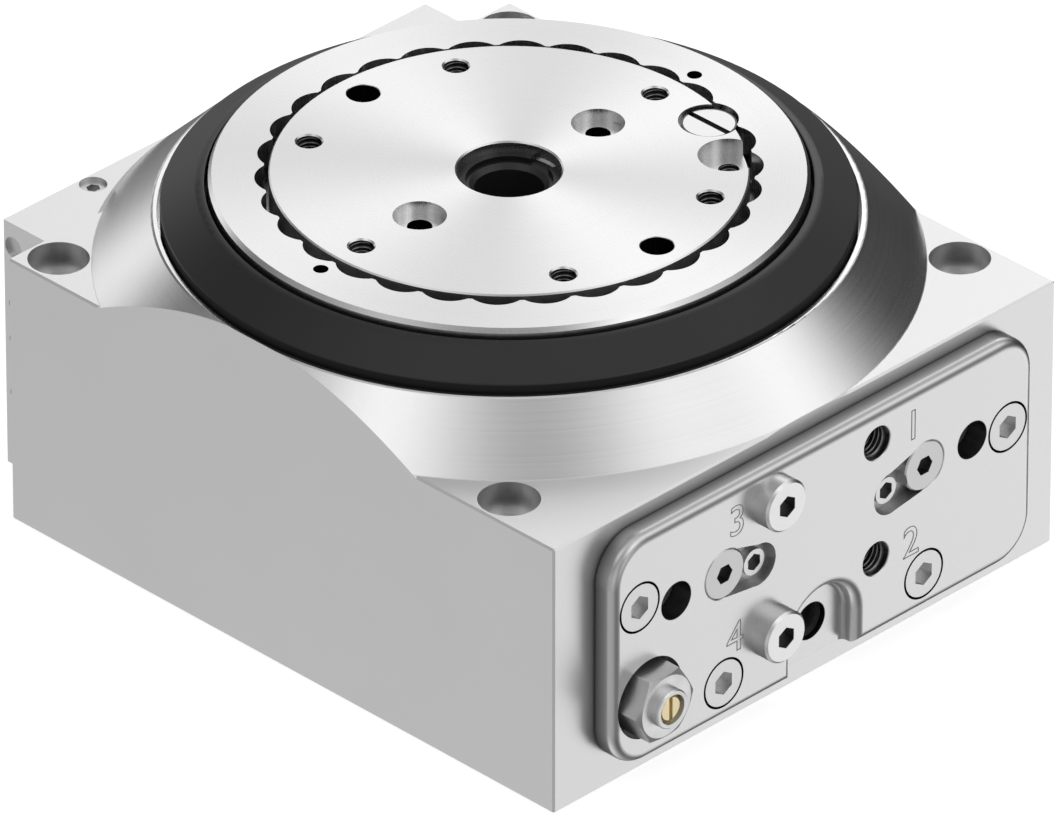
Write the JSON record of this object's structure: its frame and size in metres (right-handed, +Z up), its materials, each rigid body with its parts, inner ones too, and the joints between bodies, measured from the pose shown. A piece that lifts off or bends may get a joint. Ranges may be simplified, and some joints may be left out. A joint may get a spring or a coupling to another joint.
{
  "type": "rotary indexing table",
  "caption": "Pneumatic rotary indexing table: square housing with a conical boss and port panel, turning an indexing plate with a hollow centre.",
  "frame": {"origin": "centre of the base bore on the mounting face, under the plate axis", "axes": "+Z up along the plate axis, -Y out of the port panel, +X to the right when facing the port panel"},
  "size_m": [0.167, 0.2107, 0.097],
  "materials": {
    "cast_aluminium": "bead-blasted and clear anodised",
    "panel_aluminium": "fine-milled and clear anodised",
    "turned_aluminium": "turned in fine concentric lines",
    "black_cover": "satin black",
    "dark_polymer": "satin black bearing polymer",
    "bright_steel": "bright turned steel",
    "tool_steel": "ground steel",
    "bronze": "sintered bronze",
    "brass": "turned brass",
    "rubber": "black nitrile rubber",
    "magnet": "sintered magnet"
  },
  "bodies": {
    "base": {"housing": "cast_aluminium", "passage_plugs": "bright_steel", "port_panel": "panel_aluminium", "port_panel_screws": "bright_steel", "cylinder_plugs": "bright_steel", "panel_seals": "rubber", "blanking_plugs": "bright_steel", "absorber_body": "tool_steel", "absorber_nut": "bright_steel", "bearing_outer_race": "tool_steel", "race_clamp_ring": "tool_steel", "race_clamp_screws": "tool_steel", "cover_ring": "black_cover", "dust_seal": "rubber", "thrust_washer": "bronze", "lower_bush": "bronze", "locking_spring": "bright_steel", "lock_bore_plug": "bright_steel", "bottom_cover": "panel_aluminium", "bottom_cover_seal": "rubber", "bottom_cover_screws": "bright_steel"},
    "plate": {"index_ring": "turned_aluminium", "index_disc": "turned_aluminium", "clamp_screw": "bright_steel", "bore_circlip": "tool_steel", "bore_sleeve": "dark_polymer", "hub": "tool_steel", "ring_screws": "tool_steel", "disc_screws": "tool_steel", "hub_clamp_ring": "tool_steel", "hub_clamp_screws": "tool_steel", "bearing_inner_race": "tool_steel", "drive_flange": "tool_steel", "station_disc": "tool_steel", "shaft_nut": "tool_steel"},
    "ball_set": {"bearing_balls": "bright_steel", "bearing_cage": "brass"},
    "pinion": {"drive_pinion": "tool_steel"},
    "drive_bolt": {"drive_bolt": "tool_steel"},
    "left_rack": {"rack_left": "tool_steel", "piston_seals_left": "rubber", "position_magnet_left": "magnet"},
    "right_rack": {"rack_right": "tool_steel", "piston_seals_right": "rubber", "position_magnet_right": "magnet"},
    "locking_bolt": {"locking_bolt": "tool_steel"},
    "left_throttle": {"throttle_needle_left": "bright_steel"},
    "right_throttle": {"throttle_needle_right": "bright_steel"},
    "absorber_plunger": {"absorber_rod": "bright_steel"},
    "absorber_setting": {"absorber_adjuster": "brass"}
  },
  "joints": [
    {"name": "plate_turn", "type": "hinge", "parent": "base", "child": "plate", "pos_m": [0, 0, 0.09], "axis": [0, 0, 1], "continuous": true},
    {"name": "ball_set_turn", "type": "hinge", "parent": "base", "child": "ball_set", "pos_m": [0, 0, 0.074], "axis": [0, 0, 1], "continuous": true},
    {"name": "pinion_turn", "type": "hinge", "parent": "base", "child": "pinion", "pos_m": [0, 0, 0.0461], "axis": [0, 0, 1], "range_deg": [0, 90]},
    {"name": "left_rack_slide", "type": "slide", "parent": "base", "child": "left_rack", "axis": [0, 1, 0], "range_m": [-0.0425, 0]},
    {"name": "right_rack_slide", "type": "slide", "parent": "base", "child": "right_rack", "axis": [0, 1, 0], "range_m": [0, 0.0425]},
    {"name": "drive_bolt_slide", "type": "slide", "parent": "pinion", "child": "drive_bolt", "axis": [0, 0, 1], "range_m": [0, 0.0045]},
    {"name": "locking_bolt_slide", "type": "slide", "parent": "base", "child": "locking_bolt", "axis": [0, 1, 0], "range_m": [0, 0.005], "deforming": ["locking_spring"]},
    {"name": "left_throttle_turn", "type": "hinge", "parent": "base", "child": "left_throttle", "pos_m": [-0.022, -0.1, 0.0436], "axis": [0, 1, 0], "range_deg": [0, 720]},
    {"name": "right_throttle_turn", "type": "hinge", "parent": "base", "child": "right_throttle", "pos_m": [0.022, -0.1, 0.0436], "axis": [0, 1, 0], "range_deg": [0, 720]},
    {"name": "absorber_rod_slide", "type": "slide", "parent": "base", "child": "absorber_plunger", "axis": [0, 1, 0], "range_m": [-0.008, 0], "stiffness_N_per_m": 400},
    {"name": "absorber_adjuster_turn", "type": "hinge", "parent": "base", "child": "absorber_setting", "pos_m": [-0.0579, -0.108, 0.0233], "axis": [0, 1, 0], "range_deg": [0, 270]}
  ],
  "couplings": [
    {"joint": "ball_set_turn", "follows": "plate_turn", "ratio": 0.47308},
    {"joint": "left_rack_slide", "follows": "pinion_turn", "m_per_rad": -0.027},
    {"joint": "right_rack_slide", "follows": "pinion_turn", "m_per_rad": 0.027}
  ]
}
